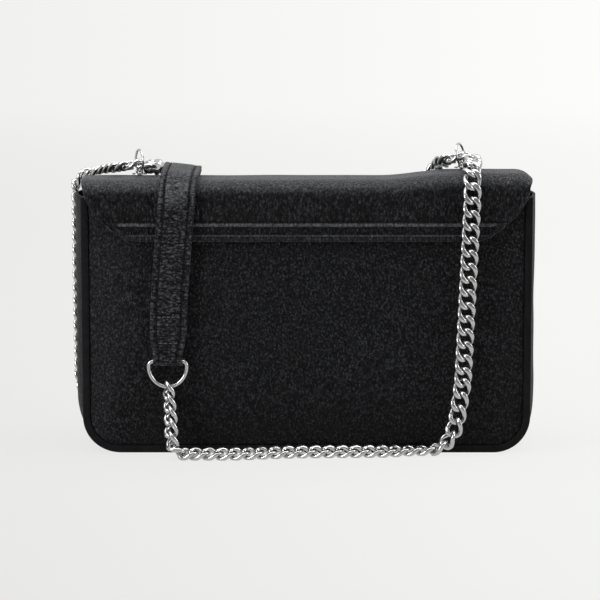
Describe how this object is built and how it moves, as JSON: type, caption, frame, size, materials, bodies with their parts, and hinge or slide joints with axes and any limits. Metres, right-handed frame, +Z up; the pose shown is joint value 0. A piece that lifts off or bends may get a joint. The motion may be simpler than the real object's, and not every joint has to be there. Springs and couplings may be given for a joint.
{
  "type": "handbag",
  "caption": "Small structured leather bag with a sewn-back flap, a magnetic snap, wire rings on the flap and a sliding curb chain with a leather shoulder piece.",
  "frame": {"origin": "middle of the flat base, on the surface that the bag stands on", "axes": "+Z up, +Y towards the front of the bag, +X to the right in a view from behind; the longest extent is X"},
  "size_m": [0.2602, 0.0996, 0.1691],
  "materials": {
    "leather": "pebbled, satin",
    "lining": "matt woven",
    "board": "matt fibre board",
    "nickel": "polished nickel plate",
    "steel": "dull"
  },
  "bodies": {
    "bag": {"back_panel": "leather", "front_panel": "leather", "back_rim": "leather", "front_rim": "leather", "gusset": "leather", "back_board": "board", "front_board": "board", "base_board": "board", "lining": "lining", "slip_pocket": "lining", "flap_back_leg": "leather", "snap_socket": "nickel", "snap_socket_plate": "steel"},
    "flap": {"flap_leather": "leather", "flap_lining": "lining", "snap_stud": "nickel", "ring_base_left": "nickel", "ring_base_right": "nickel", "ring_plate_left": "steel", "ring_plate_right": "steel", "strap_top": "leather", "strap_front_leg": "leather", "d_ring_front": "nickel", "chain_top_right": "nickel", "chain_top_left": "nickel", "chain_swag": "nickel"},
    "ring_left": {"ring_left": "nickel"},
    "ring_right": {"ring_right": "nickel"},
    "back_strap": {"strap_back_leg": "leather", "d_ring_back": "nickel", "chain_drop_back": "nickel", "chain_floor_back": "nickel", "chain_riser_back": "nickel"},
    "front_chain": {"chain_drop_left": "nickel", "chain_floor_front": "nickel", "chain_riser_front": "nickel"}
  },
  "joints": [
    {"name": "flap_hinge", "type": "hinge", "parent": "bag", "child": "flap", "pos_m": [0, -0.04, 0.1394], "axis": [1, 0, 0], "range_deg": [0, 95]},
    {"name": "ring_left_swing", "type": "hinge", "parent": "flap", "child": "ring_left", "pos_m": [-0.093, 0, 0.15215], "axis": [-0.225, 0.9744, 0], "range_deg": [-20, 30]},
    {"name": "ring_right_swing", "type": "hinge", "parent": "flap", "child": "ring_right", "pos_m": [0.085, 0, 0.15565], "axis": [0.2588, 0.9659, 0], "range_deg": [-20, 40]},
    {"name": "back_strap_swing", "type": "hinge", "parent": "bag", "child": "back_strap", "pos_m": [0, -0.04, 0.1394], "axis": [-1, 0, 0], "range_deg": [0, 75]},
    {"name": "front_chain_swing", "type": "hinge", "parent": "flap", "child": "front_chain", "pos_m": [-0.133, 0.034, 0.1425], "axis": [-0.5143, -0.042, 0.8566], "range_deg": [0, 57]}
  ],
  "couplings": [
    {"joint": "front_chain_swing", "follows": "flap_hinge", "ratio": 0.6}
  ]
}
